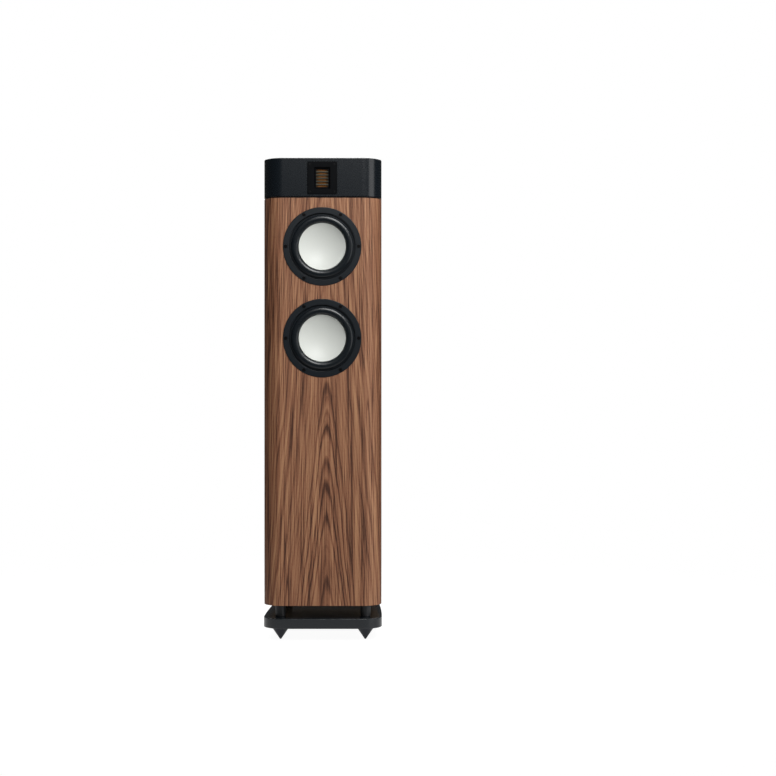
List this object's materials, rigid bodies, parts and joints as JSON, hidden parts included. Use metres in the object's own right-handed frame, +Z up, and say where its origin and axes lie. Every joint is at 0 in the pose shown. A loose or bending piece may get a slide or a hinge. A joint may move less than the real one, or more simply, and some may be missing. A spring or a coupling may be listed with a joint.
{
  "type": "floorstanding speaker",
  "caption": "Slim floorstanding loudspeaker with a veneered bow-sided cabinet, a black head with a pleated-foil tweeter, dished woofers, and a plinth held off on posts and spikes.",
  "frame": {"origin": "on the floor, under the middle of the bounding box", "axes": "+Z up; the drivers face -Y; +X is on the right of someone who faces the drivers"},
  "size_m": [0.256, 0.355, 1.0386],
  "materials": {
    "walnut_veneer": "satin",
    "fibreboard": "matte",
    "felt": "matte",
    "port_plastic": "matte",
    "black_lacquer": "satin",
    "foam_rubber": "matte",
    "black_steel": "satin",
    "black_anodised": "satin",
    "inner_plastic": "matte",
    "copper_foil": "satin",
    "ferrite": "matte",
    "cast_black": "satin",
    "white_cone": "satin",
    "surround_rubber": "satin",
    "spider_cloth": "matte",
    "copper_wire": "satin",
    "plated_steel": "satin",
    "circuit_board": "satin",
    "capacitor_film": "gloss",
    "resistor_ceramic": "matte",
    "plated_brass": "polished",
    "knob_red": "gloss",
    "knob_black": "gloss",
    "cable_jacket": "satin",
    "black_coated_metal": "satin",
    "black_chrome": "polished"
  },
  "bodies": {
    "cabinet": {"cabinet_wrap": "walnut_veneer", "rear_panel": "walnut_veneer", "inner_baffle": "fibreboard", "top_panel": "fibreboard", "bottom_panel": "fibreboard", "window_braces": "fibreboard", "damping_pads": "felt", "port_tube": "port_plastic", "head_shell": "black_lacquer", "head_gasket": "foam_rubber", "head_bolts": "black_steel", "tweeter_faceplate": "black_anodised", "tweeter_front_pole": "black_steel", "tweeter_carrier": "inner_plastic", "tweeter_foil": "copper_foil", "tweeter_magnets": "ferrite", "tweeter_rear_pole": "black_steel", "tweeter_cup": "inner_plastic", "tweeter_screws": "black_steel", "woofer_gaskets": "foam_rubber", "woofer_screws": "black_steel", "crossover_standoffs": "inner_plastic", "crossover_board": "circuit_board", "crossover_coils": "copper_wire", "crossover_capacitors": "capacitor_film", "crossover_resistors": "resistor_ceramic", "terminal_plate": "black_anodised", "terminal_posts": "plated_brass", "terminal_bushes": "inner_plastic", "terminal_nuts": "plated_brass", "plate_screws": "black_steel", "internal_cables": "cable_jacket", "plinth": "black_lacquer", "stand_posts": "black_coated_metal", "stand_bolts": "black_steel", "spike_inserts": "plated_brass", "basket_upper": "cast_black", "surround_upper": "surround_rubber", "spider_upper": "spider_cloth", "top_plate_upper": "plated_steel", "magnet_upper": "ferrite", "yoke_upper": "plated_steel", "woofer_tabs_upper": "inner_plastic", "basket_lower": "cast_black", "surround_lower": "surround_rubber", "spider_lower": "spider_cloth", "top_plate_lower": "plated_steel", "magnet_lower": "ferrite", "yoke_lower": "plated_steel", "woofer_tabs_lower": "inner_plastic"},
    "cone_upper": {"cone_upper": "white_cone", "voice_coil_upper": "copper_wire"},
    "cone_lower": {"cone_lower": "white_cone", "voice_coil_lower": "copper_wire"},
    "spike_front_left": {"spike_front_left": "black_chrome"},
    "spike_back_left": {"spike_back_left": "black_chrome"},
    "spike_front_right": {"spike_front_right": "black_chrome"},
    "spike_back_right": {"spike_back_right": "black_chrome"},
    "knob_red": {"knob_red": "knob_red"},
    "knob_black": {"knob_black": "knob_black"}
  },
  "joints": [
    {"name": "cone_upper_stroke", "type": "slide", "parent": "cabinet", "child": "cone_upper", "axis": [0, -1, 0], "range_m": [-0.005, 0.005], "stiffness_N_per_m": 1100, "deforming": ["surround_upper", "spider_upper"]},
    {"name": "cone_lower_stroke", "type": "slide", "parent": "cabinet", "child": "cone_lower", "axis": [0, -1, 0], "range_m": [-0.005, 0.005], "stiffness_N_per_m": 1100, "deforming": ["surround_lower", "spider_lower"]},
    {"name": "spike_front_left_height", "type": "slide", "parent": "cabinet", "child": "spike_front_left", "axis": [0, 0, -1], "range_m": [0, 0.008]},
    {"name": "spike_back_left_height", "type": "slide", "parent": "cabinet", "child": "spike_back_left", "axis": [0, 0, -1], "range_m": [0, 0.008]},
    {"name": "spike_front_right_height", "type": "slide", "parent": "cabinet", "child": "spike_front_right", "axis": [0, 0, -1], "range_m": [0, 0.008]},
    {"name": "spike_back_right_height", "type": "slide", "parent": "cabinet", "child": "spike_back_right", "axis": [0, 0, -1], "range_m": [0, 0.008]},
    {"name": "knob_red_lift", "type": "slide", "parent": "cabinet", "child": "knob_red", "axis": [0, 1, 0], "range_m": [0, 0.007]},
    {"name": "knob_black_lift", "type": "slide", "parent": "cabinet", "child": "knob_black", "axis": [0, 1, 0], "range_m": [0, 0.007]}
  ]
}
